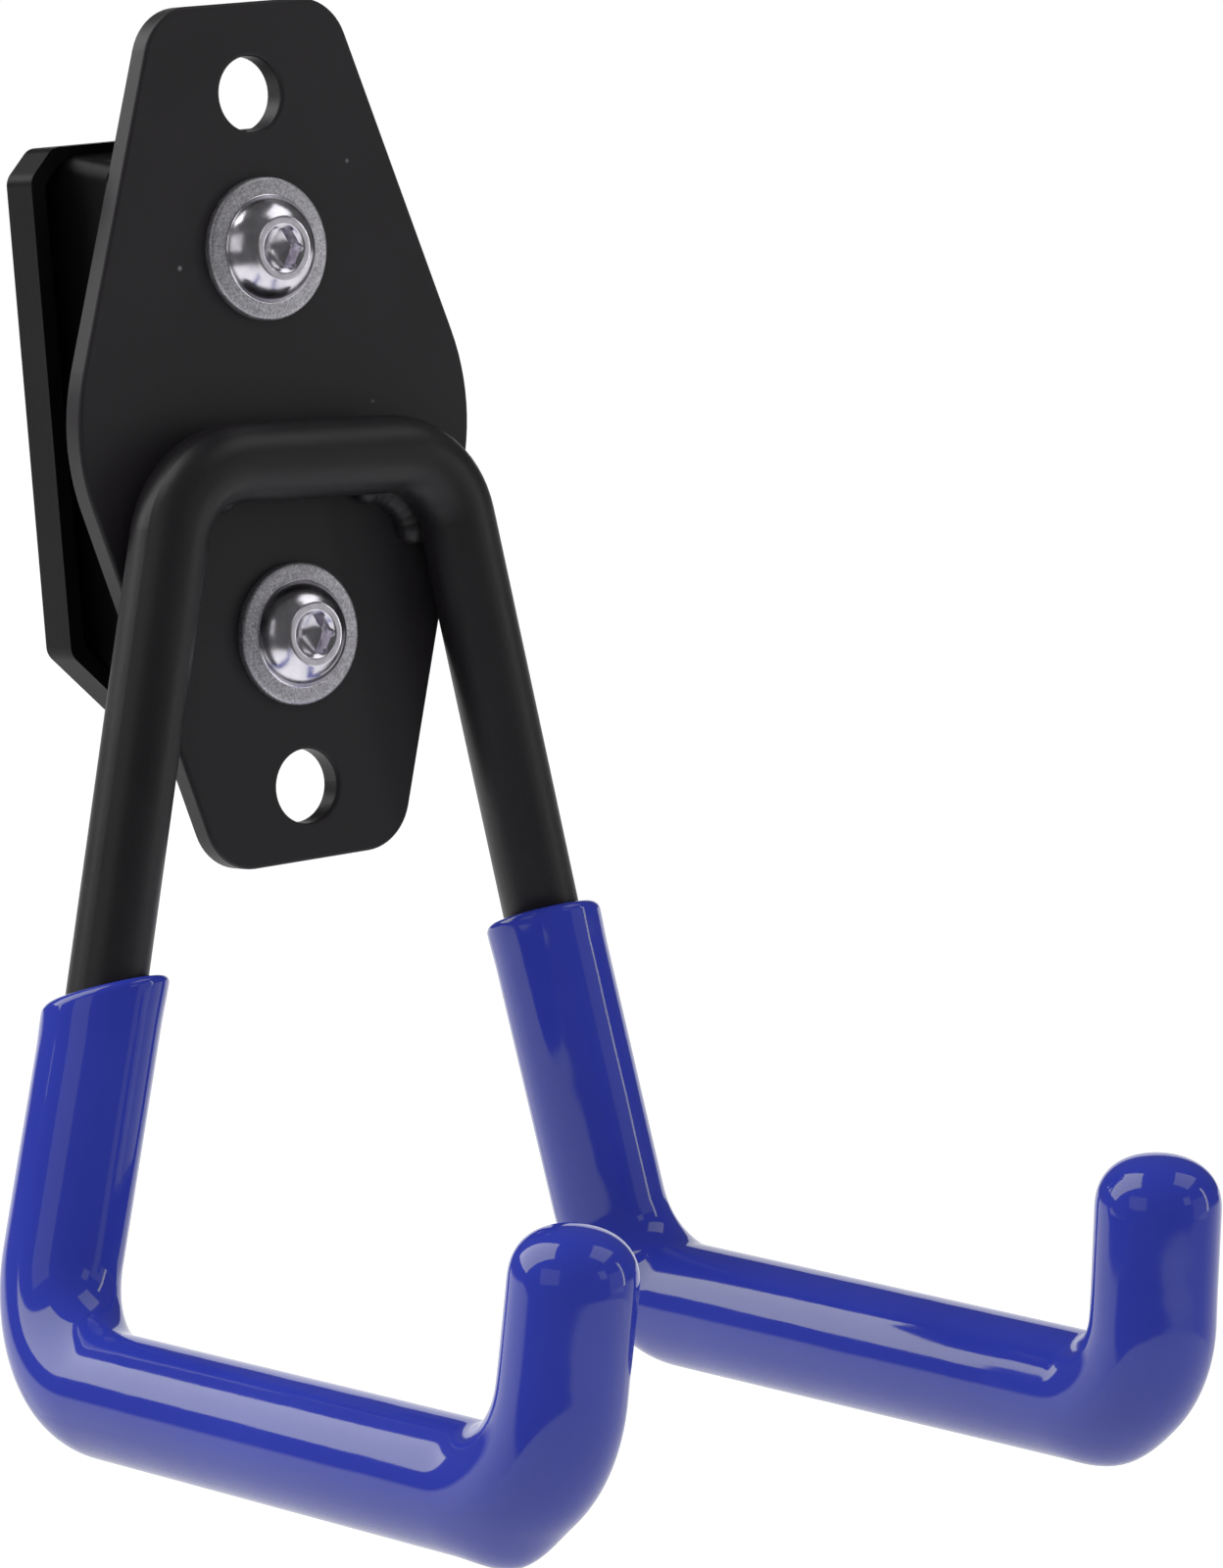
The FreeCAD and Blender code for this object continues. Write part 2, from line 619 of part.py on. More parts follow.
def make_screw(label, drop):
    screw = new_body(label)
    flank = new_sketch(screw, label + "_profile", "YZ_Plane")
    closed_profile(flank, [
        ("thread_end", 1, "Sizes.thread_length", NONE),
        ("lead_in", 1, "Sizes.thread_length", "%s - %s" % (THREAD, LEAD)),
        ("thread_top", 1, "Sizes.thread_length - " + LEAD, THREAD),
        ("under_head", 1, NONE, THREAD),
        ("flange_under", 1, NONE, FLANGE),
        ("flange_edge", -1, "0.6 * Sizes.flange_height", FLANGE),
        ("flange_face", -1, "Sizes.flange_height", FLANGE + " - 0.4 * Sizes.flange_height"),
        ("dome_foot", -1, "Sizes.flange_height", "Sizes.dome_diameter / 2"),
        ("dome_top", -1, "Sizes.head_height", "Sizes.dome_flat / 2"),
        ("head_middle", -1, "Sizes.head_height", NONE),
    ], {"dome_foot": "Sizes.dome_curve"})
    turn_round(screw, "PartDesign::Revolution", label + "_turned", flank)
    key = new_sketch(screw, label + "_key", "XZ_Plane", "Sizes.head_height")
    hexagon(key, "Sizes.socket_flats")
    pocket(screw, label + "_socket", key, "Sizes.socket_depth")
    seat(screw, "-(%s)" % PLATE_FRONT, drop)


NUT_FACE = "Sizes.nut_face_share * Sizes.nut_flats / 2"
NUT_OUT = "0.15 * Sizes.nut_flats"
NUT_DOWN = NUT_OUT + " * tan(Sizes.nut_chamfer * 1 deg)"


def make_nut(label, drop):
    nut = new_body(label)
    ring = new_sketch(nut, label + "_outline", "XZ_Plane")
    hexagon(ring, "Sizes.nut_flats")
    add_circle(ring, "bore", "Sizes.thread_diameter")
    pad(nut, label + "_block", ring, "Sizes.nut_height")
    corners = new_sketch(nut, label + "_corners", "YZ_Plane")
    beyond = "%s + %s" % (NUT_FACE, NUT_OUT)
    closed_profile(corners, [
        ("wall_side", 1, NONE, NUT_FACE),
        ("wall_out", 1, NONE, beyond),
        ("wall_down", -1, NUT_DOWN, beyond),
    ])
    closed_profile(corners, [
        ("plate_side", -1, "Sizes.nut_height", NUT_FACE),
        ("plate_down", -1, "Sizes.nut_height - " + NUT_DOWN, beyond),
        ("plate_out", -1, "Sizes.nut_height", beyond),
    ])
    turn_round(nut, "PartDesign::Groove", label + "_chamfers", corners)
    seat(nut, "Sizes.bracket_sheet + Sizes.nut_height", drop)


for place, drop in (("upper", NONE), ("lower", "Sizes.screw_spacing")):
    make_screw(place + "_screw", drop)
    make_nut(place + "_nut", drop)


# Check every object, then write one file for each piece

doc.recompute()
for item in doc.Objects:
    if "Invalid" in item.State or "Error" in item.State:
        raise RuntimeError("%s is %s" % (item.Name, item.State))
for node in nodes:
    shape = node.Shape
    if shape.isNull() or not shape.isValid() or not shape.Solids:
        raise RuntimeError("%s has no sound solid" % node.Label)
    shape.exportStep("parts/%s.step" % node.Label)
    print(node.Label, round(shape.Volume, 1), "mm3")
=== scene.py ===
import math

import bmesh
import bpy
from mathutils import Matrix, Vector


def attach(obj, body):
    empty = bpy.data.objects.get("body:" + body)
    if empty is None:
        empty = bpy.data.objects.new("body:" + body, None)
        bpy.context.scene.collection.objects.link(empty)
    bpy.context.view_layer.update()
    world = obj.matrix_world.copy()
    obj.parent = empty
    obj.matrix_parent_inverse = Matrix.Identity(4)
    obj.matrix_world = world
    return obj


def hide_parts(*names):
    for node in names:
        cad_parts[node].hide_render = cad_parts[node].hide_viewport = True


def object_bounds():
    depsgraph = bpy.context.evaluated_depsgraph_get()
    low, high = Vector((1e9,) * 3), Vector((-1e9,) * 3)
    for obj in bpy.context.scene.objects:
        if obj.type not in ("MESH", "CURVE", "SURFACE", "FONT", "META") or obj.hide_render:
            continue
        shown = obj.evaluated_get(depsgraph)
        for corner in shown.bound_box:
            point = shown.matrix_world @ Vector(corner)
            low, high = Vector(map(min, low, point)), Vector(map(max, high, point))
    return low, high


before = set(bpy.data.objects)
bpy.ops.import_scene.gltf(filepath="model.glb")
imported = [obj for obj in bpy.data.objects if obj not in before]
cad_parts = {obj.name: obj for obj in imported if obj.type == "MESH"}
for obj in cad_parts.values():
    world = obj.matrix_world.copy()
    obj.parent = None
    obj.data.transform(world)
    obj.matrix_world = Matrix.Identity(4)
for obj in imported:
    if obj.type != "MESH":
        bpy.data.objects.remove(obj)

# %% [markdown]
# # A garage utility hook
# The real object is a black powder-coated steel plate with a bent steel rod welded across it. Two
# glossy blue vinyl grips are dipped over the arms, and two bright flanged screws hold the plate to
# a pressed bracket behind. The plate, rod and bracket come from the construction model as they
# are, and only get their finish here. The grips, screws, nuts and welds are made here, because
# dipping, turning, thread rolling and welding leave forms that the plain solids don't have.

MM = 0.001
cad_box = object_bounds()
print("box of the construction model:", [[round(value, 4) for value in corner] for corner in cad_box])

# %% [markdown]
# ## Where the pieces lie
# The origin is on the plate's back face, midway between its two fixing holes. X runs to the
# right, Y into the wall and Z up. The hook was welded on a little askew, so its points are first
# written for a straight hook, then turned about the middle of the crossbar and shifted to the
# right.

# %% Sizes of plate and hook
plate_front = -3 * MM
upper_screw_z = 24 * MM
lower_screw_z = -24 * MM
rod_radius = 4.9 * MM
grip_wall = 2.65 * MM
grip_radius = rod_radius + grip_wall
rod_y = plate_front - rod_radius
crossbar_drop = 26.2 * MM
half_crossbar = 20 * MM
leg_height = 108.6 * MM
half_foot_width = 43.85 * MM
rim_drop = 87.2 * MM
arm_reach = 100 * MM
arm_fall = math.radians(3.5)
tip_rise = 26 * MM
tip_uneven = 0.8 * MM
tip_lean = math.radians(10)

# %% Corners of the bent rod's right half
shoulder = Vector((half_crossbar, rod_y, upper_screw_z - crossbar_drop))
foot = Vector((half_foot_width, rod_y, shoulder.z - leg_height))
knuckle = foot + Vector((0, -math.cos(arm_fall), -math.sin(arm_fall))) * arm_reach
tip_direction = Vector((0, -math.sin(tip_lean), math.cos(tip_lean)))
rim_z = upper_screw_z - rim_drop
print("foot", foot, "knuckle", knuckle)

# %% Set a point askew with the hook
hook_turn = math.radians(3)
hook_shift = Vector((1.25 * MM, 0, 0))
bar_middle = Vector((0, rod_y, shoulder.z))
askew = Matrix.Rotation(hook_turn, 3, "Y")


def on_side(side, point):
    """Point of the right half, brought to its side (1 right, -1 left) and set askew."""
    away = Vector((side * point.x, point.y, point.z)) - bar_middle
    return bar_middle + askew @ away + hook_shift


print("left foot", on_side(-1, foot), "right foot", on_side(1, foot))

# %% [markdown]
# ## Camera
# The photograph looks at the hook from its left and a little above, from almost a metre away, and
# the camera is rolled by a few degrees. A long lens keeps the arms almost parallel in the picture.
# The azimuth turns round Z, and zero looks straight at the wall, along Y. The camera's own axes
# are built from the gaze, and its matrix takes them as columns.

# %% Camera
azimuth = math.radians(-37.517)
elevation = math.radians(6.268)
roll = math.radians(-4.454)
distance = 930.6 * MM
aim = Vector((28.386, -28.110, -45.605)) * MM
print("distance", distance, "aim", aim)

# %% Directions of the picture
gaze = Vector((-math.sin(azimuth) * math.cos(elevation),
               math.cos(azimuth) * math.cos(elevation), -math.sin(elevation)))
level_right = Vector((math.cos(azimuth), math.sin(azimuth), 0))
level_up = level_right.cross(gaze)
camera_right = level_right * math.cos(roll) + level_up * math.sin(roll)
camera_up = level_up * math.cos(roll) - level_right * math.sin(roll)
print("gaze", gaze)

# %% Place the camera
camera_data = bpy.data.cameras.new("camera")
camera_data.lens = 171.47
camera_data.sensor_width = 36
camera_data.clip_end = 40
camera = bpy.data.objects.new("camera", camera_data)
bpy.context.scene.collection.objects.link(camera)
axes = Matrix((camera_right, camera_up, -gaze)).transposed()
camera.matrix_world = Matrix.LocRotScale(aim - gaze * distance, axes.to_quaternion(), None)
bpy.context.scene.camera = camera
print("camera at", camera.matrix_world.translation)

# %% [markdown]
# ## Materials
# Each finish is a small node tree on Object coordinates, so its grain keeps its real size. Noise
# of a millimetre or less gives the orange peel of powder coat, and broader noise varies the
# roughness, because a real surface never shines evenly.

# %% Start a material


def new_material(name, colour, roughness, metallic=0.0):
    """Principled material; returns it with its node tree, shader and object coordinates."""
    material = bpy.data.materials.new(name)
    material.use_nodes = True
    tree = material.node_tree
    shader = tree.nodes["Principled BSDF"]
    shader.inputs["Base Color"].default_value = (*colour, 1)
    shader.inputs["Roughness"].default_value = roughness
    shader.inputs["Metallic"].default_value = metallic
    place = tree.nodes.new("ShaderNodeTexCoord")
    return material, tree, shader, place.outputs["Object"]


# %% Noise, ranges and blends


def noise(tree, coordinates, grain_mm, detail=3.0, roughness=0.5):
    """Noise texture whose grain is about the given size in millimetres."""
    texture = tree.nodes.new("ShaderNodeTexNoise")
    texture.inputs["Scale"].default_value = 1 / (grain_mm * MM)
    texture.inputs["Detail"].default_value = detail
    texture.inputs["Roughness"].default_value = roughness
    tree.links.new(coordinates, texture.inputs["Vector"])
    return texture.outputs["Fac"]


def spread(tree, value, low, high, from_low=0.3, from_high=0.7):
    """Map a value to a range."""
    node = tree.nodes.new("ShaderNodeMapRange")
    node.inputs["From Min"].default_value = from_low
    node.inputs["From Max"].default_value = from_high
    node.inputs["To Min"].default_value = low
    node.inputs["To Max"].default_value = high
    tree.links.new(value, node.inputs["Value"])
    return node.outputs["Result"]


def times(tree, first, second):
    """Product of two values."""
    node = tree.nodes.new("ShaderNodeMath")
    node.operation = "MULTIPLY"
    tree.links.new(first, node.inputs[0])
    tree.links.new(second, node.inputs[1])
    return node.outputs["Value"]


def blend_colours(tree, factor, dark, light):
    """Colour that runs from dark to light with the factor; either may be another colour's output."""
    node = tree.nodes.new("ShaderNodeMix")
    node.data_type = "RGBA"
    for socket, colour in (("A", dark), ("B", light)):
        if isinstance(colour, tuple):
            node.inputs[socket].default_value = (*colour, 1)
        else:
            tree.links.new(colour, node.inputs[socket])
    tree.links.new(factor, node.inputs["Factor"])
    return node.outputs["Result"]


# %% Relief of a finish


def bump(tree, height, shader, depth_mm, strength=1.0, below=None):
    """Bump whose depth is given in millimetres, on top of another bump if there is one."""
    node = tree.nodes.new("ShaderNodeBump")
    node.inputs["Strength"].default_value = strength
    node.inputs["Distance"].default_value = depth_mm * MM
    tree.links.new(height, node.inputs["Height"])
    if below:
        tree.links.new(below, node.inputs["Normal"])
    tree.links.new(node.outputs["Normal"], shader.inputs["Normal"])
    return node.outputs["Normal"]


# %% [markdown]
# ### Powder coat
# Powder is sprayed on dry and baked, so it flows into a faint orange peel and stays matt. A cell
# texture cut off just above zero leaves only the middles of some cells, and these become the few
# pale specks of dust that the photograph shows on the plate. Rod and plate carry one coat, but the
# rod's is made darker as painted shade, and a little shinier; the bracket's paint is made darker
# still, as painted shade behind the plate. So one function makes all three from their two tones,
# their range of roughness and their sheen.

# %% Make a powder coat


def make_powder_coat(name, dark, light, roughness_low, roughness_high, specular, speck):
    """Matt black coat with fine peel, an uneven sheen and a few specks of dust."""
    material, tree, shader, here = new_material(name, dark, roughness_low)
    cloud = noise(tree, here, 18, 4)
    cells = tree.nodes.new("ShaderNodeTexVoronoi")
    cells.inputs["Scale"].default_value = 1 / (6.5 * MM)
    tree.links.new(here, cells.inputs["Vector"])
    dot = spread(tree, cells.outputs["Distance"], 1, 0, 0.03, 0.06)
    rare = spread(tree, noise(tree, here, 14, 1), 0, 1, 0.56, 0.6)
    plain = blend_colours(tree, spread(tree, cloud, 0, 1), dark, light)
    specked = blend_colours(tree, times(tree, dot, rare), plain, speck)
    tree.links.new(specked, shader.inputs["Base Color"])
    tree.links.new(spread(tree, cloud, roughness_low, roughness_high), shader.inputs["Roughness"])
    shader.inputs["Specular IOR Level"].default_value = specular
    peel = bump(tree, noise(tree, here, 0.9, 2), shader, 0.035, 0.5)
    bump(tree, noise(tree, here, 0.22, 2), shader, 0.008, 0.5, peel)
    return material


# %% Three black coats
powder_coat = make_powder_coat("black_powder_coat", (0.0116, 0.0099, 0.0118),
                               (0.0146, 0.0126, 0.0148), 0.38, 0.48, 0.29, (0.11, 0.11, 0.12))
# The rod's coat is the plate's coat made darker: painted shade on the rod and its welds.
painted_shade_rod_coat = make_powder_coat("black_rod_coat_painted_shade", (0.0082, 0.0070, 0.0084),
                            (0.0106, 0.0091, 0.0108), 0.36, 0.46, 0.36, (0.11, 0.11, 0.12))
# The bracket's paint is made much darker still: painted shade behind the plate.
painted_shade_bracket_paint = make_powder_coat("black_bracket_paint_painted_shade", (0.0021, 0.0018, 0.0021),
                                 (0.0034, 0.0030, 0.0034), 0.36, 0.46, 0.11, (0.04, 0.04, 0.045))
print("powder coats:", powder_coat.name, painted_shade_rod_coat.name, painted_shade_bracket_paint.name)

# %% [markdown]
# ### Dipped vinyl
# The hot arms are lowered into liquid vinyl and baked again, so the skin is smooth and glossy,
# with only slow ripples where it ran. Low roughness gives the reflections their crisp edges. The
# specular tint takes some blue out of the reflections, because they look grey in the photograph.

# %% Blue dipped vinyl


def make_vinyl():
    """Glossy vinyl: a deep even blue under a smooth, slowly rippled skin."""
    material, tree, shader, here = new_material("blue_dipped_vinyl", (0.020, 0.030, 0.30), 0.1)
    cloud = spread(tree, noise(tree, here, 26, 3), 0, 1)
    tree.links.new(blend_colours(tree, cloud, (0.0195, 0.0300, 0.272), (0.0232, 0.0355, 0.300)),
                   shader.inputs["Base Color"])
    tree.links.new(spread(tree, noise(tree, here, 7, 3), 0.05, 0.09), shader.inputs["Roughness"])
    shader.inputs["Specular IOR Level"].default_value = 0.5
    shader.inputs["Specular Tint"].default_value = (1, 1, 0.35, 1)
    ripple = bump(tree, noise(tree, here, 11, 1), shader, 0.30, 0.30)
    bump(tree, noise(tree, here, 1.1, 2), shader, 0.006, 0.30, ripple)
    return material


vinyl = make_vinyl()
print("vinyl:", vinyl.name)

# %% [markdown]
# ### Zinc plate
# The screws' domes are polished in the heading die and show blurred mirror images, while their
# flanges keep a sandy, speckled face. So there are two zincs, and the screw uses both.

# %% Polished and sandy zinc


def make_zinc(name, dark, light, roughness_low, roughness_high, grit_mm, grit_depth):
    """Zinc plate; the grit sets how sandy it is."""
    material, tree, shader, here = new_material(name, dark, roughness_low, 1.0)
    grit = spread(tree, noise(tree, here, grit_mm, 2), 0, 1)
    tree.links.new(blend_colours(tree, grit, dark, light), shader.inputs["Base Color"])
    tree.links.new(spread(tree, noise(tree, here, 1.6, 3), roughness_low, roughness_high),
                   shader.inputs["Roughness"])
    bump(tree, noise(tree, here, grit_mm, 2), shader, grit_depth, 0.6)
    return material


polished_zinc = make_zinc("polished_zinc", (0.72, 0.695, 0.76), (0.82, 0.795, 0.86),
                          0.16, 0.26, 1.0, 0.01)
sandy_zinc = make_zinc("sandy_zinc", (0.36, 0.35, 0.38), (0.72, 0.705, 0.75),
                       0.40, 0.54, 0.28, 0.03)
print("zinc:", polished_zinc.name, sandy_zinc.name)

# %% [markdown]
# ## Steel pieces
# A construction node keeps its mesh and place, and only its material slots are filled.

# %% Finish on plate, rod and bracket
# The rod's and the bracket's coats are darkened copies of the plate's: painted shade.
for node_name, material in (("front_plate", powder_coat), ("hook_rod", painted_shade_rod_coat),
                            ("rail_bracket", painted_shade_bracket_paint)):
    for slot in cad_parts[node_name].material_slots:
        slot.material = material
    print("finished", node_name)

# %% [markdown]
# ## A swept silhouette
# A grip and a weld bead are the same kind of form: something round that follows a bent path while
# its thickness changes. So one node tree makes them all. The modifier sits on the silhouette, a
# flat curve whose points say how far along (X) and how thick (Y). The tree rounds each corner of
# the path by the radius stored at its point, puts each point of the silhouette at its distance
# along the path, and sweeps a circle whose size is that point's thickness.

# %% Polylines as curves


def polyline(name, points, bends=()):
    """Curve object through points, as one open poly spline; bends are its inner corners' radii."""
    curve = bpy.data.curves.new(name, "CURVE")
    curve.dimensions = "3D"
    spline = curve.splines.new("POLY")
    spline.points.add(len(points) - 1)
    for i, point in enumerate(points):
        spline.points[i].co = (point[0], point[1], point[2] if len(point) > 2 else 0, 1)
    for i, bend in enumerate(bends, start=1):
        spline.points[i].radius = bend
    piece = bpy.data.objects.new(name, curve)
    bpy.context.scene.collection.objects.link(piece)
    return piece


def path_length(points, bends):
    """Length of a path through sharp corners once each inner corner is rounded by its bend."""
    total = sum((points[i + 1] - points[i]).length for i in range(len(points) - 1))
    for i, bend in enumerate(bends, start=1):
        turn = (points[i] - points[i - 1]).angle(points[i + 1] - points[i])
        total -= bend * (2 * math.tan(turn / 2) - turn)
    return total


# %% Inputs and links of a node tree


def add_input(tree, name, kind, value=None):
    """Named input of a node tree."""
    socket = tree.interface.new_socket(name, in_out="INPUT", socket_type=kind)
    if value is not None:
        socket.default_value = value
    return socket


def joined(tree, kind, links=(), **settings):
    """New node with its settings and links; a link is (input, output or value)."""
    node = tree.nodes.new(kind)
    for key, value in settings.items():
        setattr(node, key, value)
    for socket, source in links:
        if isinstance(source, bpy.types.NodeSocket):
            tree.links.new(source, node.inputs[socket])
        else:
            node.inputs[socket].default_value = source
    return node


# %% Node tree that sweeps a silhouette


def begin_sweep(tree, vectors=()):
    """Inputs and first half of a sweep: returns the group's inputs and the swept mesh."""
    add_input(tree, "Silhouette", "NodeSocketGeometry")
    add_input(tree, "Path", "NodeSocketObject")
    add_input(tree, "Sides", "NodeSocketInt", 64)
    add_input(tree, "Material", "NodeSocketMaterial")
    for name in vectors:
        add_input(tree, name, "NodeSocketVector")
    tree.interface.new_socket("Mesh", in_out="OUTPUT", socket_type="NodeSocketGeometry")
    given = tree.nodes.new("NodeGroupInput").outputs
    path = joined(tree, "GeometryNodeObjectInfo", [("Object", given["Path"])])
    bends = joined(tree, "GeometryNodeInputRadius")
    rounded = joined(tree, "GeometryNodeFilletCurve",
                     [("Curve", path.outputs["Geometry"]), ("Count", 32),
                      ("Radius", bends.outputs["Radius"])], mode="POLY")
    here = joined(tree, "GeometryNodeInputPosition").outputs["Position"]
    split = joined(tree, "ShaderNodeSeparateXYZ", [("Vector", here)])
    noted = joined(tree, "GeometryNodeStoreNamedAttribute",
                   [("Geometry", given["Silhouette"]), ("Name", "along"),
                    ("Value", split.outputs["X"])], data_type="FLOAT", domain="POINT")
    thick = joined(tree, "GeometryNodeStoreNamedAttribute",
                   [("Geometry", noted.outputs["Geometry"]), ("Name", "thickness"),
                    ("Value", split.outputs["Y"])], data_type="FLOAT", domain="POINT")
    along = joined(tree, "GeometryNodeInputNamedAttribute", [("Name", "along")], data_type="FLOAT")
    found = joined(tree, "GeometryNodeSampleCurve",
                   [("Curves", rounded.outputs["Curve"]), ("Length", along.outputs["Attribute"])],
                   mode="LENGTH")
    laid = joined(tree, "GeometryNodeSetPosition",
                  [("Geometry", thick.outputs["Geometry"]), ("Position", found.outputs["Position"])])
    ring = joined(tree, "GeometryNodeCurvePrimitiveCircle",
                  [("Resolution", given["Sides"]), ("Radius", 1.0)])
    across = joined(tree, "GeometryNodeInputNamedAttribute", [("Name", "thickness")], data_type="FLOAT")
    swept = joined(tree, "GeometryNodeCurveToMesh",
                   [("Curve", laid.outputs["Geometry"]), ("Profile Curve", ring.outputs["Curve"]),
                    ("Scale", across.outputs["Attribute"])])
    return given, swept.outputs["Mesh"]


def end_sweep(tree, given, mesh):
    """Smooth shading, Realize Instances and Set Material, then the output."""
    smooth = joined(tree, "GeometryNodeSetShadeSmooth", [("Geometry", mesh)])
    real = joined(tree, "GeometryNodeRealizeInstances", [("Geometry", smooth.outputs["Geometry"])])
    dressed = joined(tree, "GeometryNodeSetMaterial",
                     [("Geometry", real.outputs["Geometry"]), ("Material", given["Material"])])
    joined(tree, "NodeGroupOutput", [(0, dressed.outputs["Geometry"])])


# %% [markdown]
# The tree gives a live result, but the export wants plain meshes. So the evaluated object is
# copied into a new mesh, the modifier and the curves go, and points that share a place are merged,
# which also closes the poles. The open edges are counted: a weld bead has none, and a grip has one
# ring of 96, where its skin ends on the rod, because only the outer side of the skin is made.

# %% Turn a node tree's result into a plain mesh
merge_distance = 2e-6


def plain_mesh(name, base, tree, values):
    """Mesh object with the tree's result; values are set by the inputs' identifiers."""
    modifier = base.modifiers.new("sweep", "NODES")
    modifier.node_group = tree
    for socket in tree.interface.items_tree:
        if socket.in_out == "INPUT" and socket.name in values:
            modifier[socket.identifier] = values[socket.name]
    evaluated = base.evaluated_get(bpy.context.evaluated_depsgraph_get())
    mesh = bpy.data.meshes.new_from_object(evaluated)
    mesh.name = name
    base.modifiers.remove(modifier)
    bpy.data.objects.remove(base)
    shell = bmesh.new()
    shell.from_mesh(mesh)
    bmesh.ops.remove_doubles(shell, verts=shell.verts, dist=merge_distance)
    bmesh.ops.recalc_face_normals(shell, faces=shell.faces)
    open_edges = sum(1 for edge in shell.edges if len(edge.link_faces) != 2)
    shell.to_mesh(mesh)
    shell.free()
    piece = bpy.data.objects.new(name, mesh)
    bpy.context.scene.collection.objects.link(piece)
    print(name, len(mesh.polygons), "faces,", open_edges, "open edges")
    return piece


# %% [markdown]
# ## Vinyl grips
# The hook is dipped arms down, with its front a little higher, so both rims lie in one slanting
# plane and don't follow the legs. The rim ends in a soft roll, the vinyl is a little thicker
# along the arms, and the free ends are blunt domes. The skin doesn't follow the steel exactly:
# it sags a little, cuts the bends, and a drop hung from each lower bend while it set.

# %% Thickness that eases from mark to mark


def eased(marks, place):
    """Value at a place, easing from one (place, value) mark to the next."""
    for (start, low), (stop, high) in zip(marks, marks[1:]):
        if place <= stop:
            share = min(1, max(0, (place - start) / (stop - start)))
            return low + (high - low) * share * share * (3 - 2 * share)
    return marks[-1][1]


# %% Silhouette of a grip
lip = 1.3 * MM
dome = 6.6 * MM
bluntness = 0.84
ring_spacing = 0.8 * MM


def grip_silhouette(length, marks):
    """Distances and thicknesses of one grip, from the rod at its rim to the tip's pole."""
    rim_radius = marks[0][1]
    points = [(0.00 * MM, rod_radius + 0.01 * MM), (0.01 * MM, rod_radius + 0.5 * MM),
              (0.02 * MM, rim_radius - lip)]
    for step in range(1, 13):
        turn = math.pi / 2 * step / 12
        points.append((0.02 * MM + lip * (1 - math.cos(turn)), rim_radius - lip * (1 - math.sin(turn))))
    start = points[-1][0]
    reach = length - dome - start
    rings = round(reach / ring_spacing)
    for step in range(1, rings + 1):
        place = start + reach * step / rings
        points.append((place, eased(marks, place)))
    end_radius = points[-1][1]
    for step in range(1, 25):
        turn = math.pi / 2 * step / 24
        height = dome * math.sin(turn) ** bluntness
        points.append((length - dome + height, end_radius * max(0, math.cos(turn)) ** bluntness))
    return points


plain_marks = [(0, grip_radius), (180 * MM, grip_radius)]
print("points on a 180 mm silhouette:", len(grip_silhouette(180 * MM, plain_marks)))

# %% [markdown]
# The tree of the grips adds two forms to the sweep. Near the rim it slides each point along the
# leg until the rim is level with the bath, and round one point under the bend it pulls the skin
# down into the drop. Both fade out smoothly.

# %% Vector sums and easing as nodes


def vector_math(tree, operation, first, second):
    """Vector Math node; a link or a constant vector for each side."""
    return joined(tree, "ShaderNodeVectorMath", [(0, first), (1, second)], operation=operation)


def number_math(tree, operation, first, second):
    """Result of a Math node; a link or a number for each side."""
    links = [(0, first), (1, second)]
    return joined(tree, "ShaderNodeMath", links, operation=operation).outputs["Value"]


def ease(tree, value, until, amount):
    """Amount at zero that eases to nothing at the distance until."""
    return joined(tree, "ShaderNodeMapRange", [("Value", value), ("From Max", until),
                  ("To Min", amount), ("To Max", 0.0)], interpolation_type="SMOOTHSTEP").outputs["Result"]


# %% Grip tree: sweep, and the slide along the leg
slant_reach = 30 * MM
drop_reach = 8 * MM

dipping = bpy.data.node_groups.new("dipped_grip", "GeometryNodeTree")
given, tube = begin_sweep(dipping, ("Rim middle", "Leg direction", "Level normal", "Drop point",
                                    "Drop pull"))
here = joined(dipping, "GeometryNodeInputPosition").outputs["Position"]
along = joined(dipping, "GeometryNodeInputNamedAttribute", [("Name", "along")],
               data_type="FLOAT").outputs["Attribute"]
leg_way = given["Leg direction"]
off_rim = vector_math(dipping, "SUBTRACT", here, given["Rim middle"]).outputs["Vector"]
above = vector_math(dipping, "DOT_PRODUCT", off_rim, given["Level normal"]).outputs["Value"]
steep = vector_math(dipping, "DOT_PRODUCT", leg_way, given["Level normal"]).outputs["Value"]
lift = number_math(dipping, "DIVIDE", above, steep)
tilt = number_math(dipping, "ADD", lift, along)
slant = number_math(dipping, "MULTIPLY", tilt, ease(dipping, along, slant_reach, -1.0))
slide = joined(dipping, "ShaderNodeVectorMath", [(0, leg_way), ("Scale", slant)],
               operation="SCALE").outputs["Vector"]
level = joined(dipping, "GeometryNodeSetPosition", [("Geometry", tube), ("Offset", slide)])
print("slides over", slant_reach, "m of the leg")

# %% Grip tree: the drop, and the output
near = vector_math(dipping, "DISTANCE", here, given["Drop point"]).outputs["Value"]
hang = ease(dipping, near, drop_reach, 1.0)
pull = joined(dipping, "ShaderNodeVectorMath", [(0, given["Drop pull"]), ("Scale", hang)],
              operation="SCALE").outputs["Vector"]
dropped = joined(dipping, "GeometryNodeSetPosition",
                 [("Geometry", level.outputs["Geometry"]), ("Offset", pull)])
end_sweep(dipping, given, dropped.outputs["Geometry"])
print("tree:", dipping.name, len(dipping.nodes), "nodes")

# %% [markdown]
# Each grip hangs a little differently in the photograph. Its skin's foot, knuckle and tip are
# given as small shifts from the steel's axis, with its own bend radii and thicknesses. The foot's
# shift is along X, Y and Z. Those of the knuckle and tip are along the picture's own level
# direction and up, because one photograph tells nothing of what lies along the gaze. The left
# tip is also 1.6 mm longer than the right one.

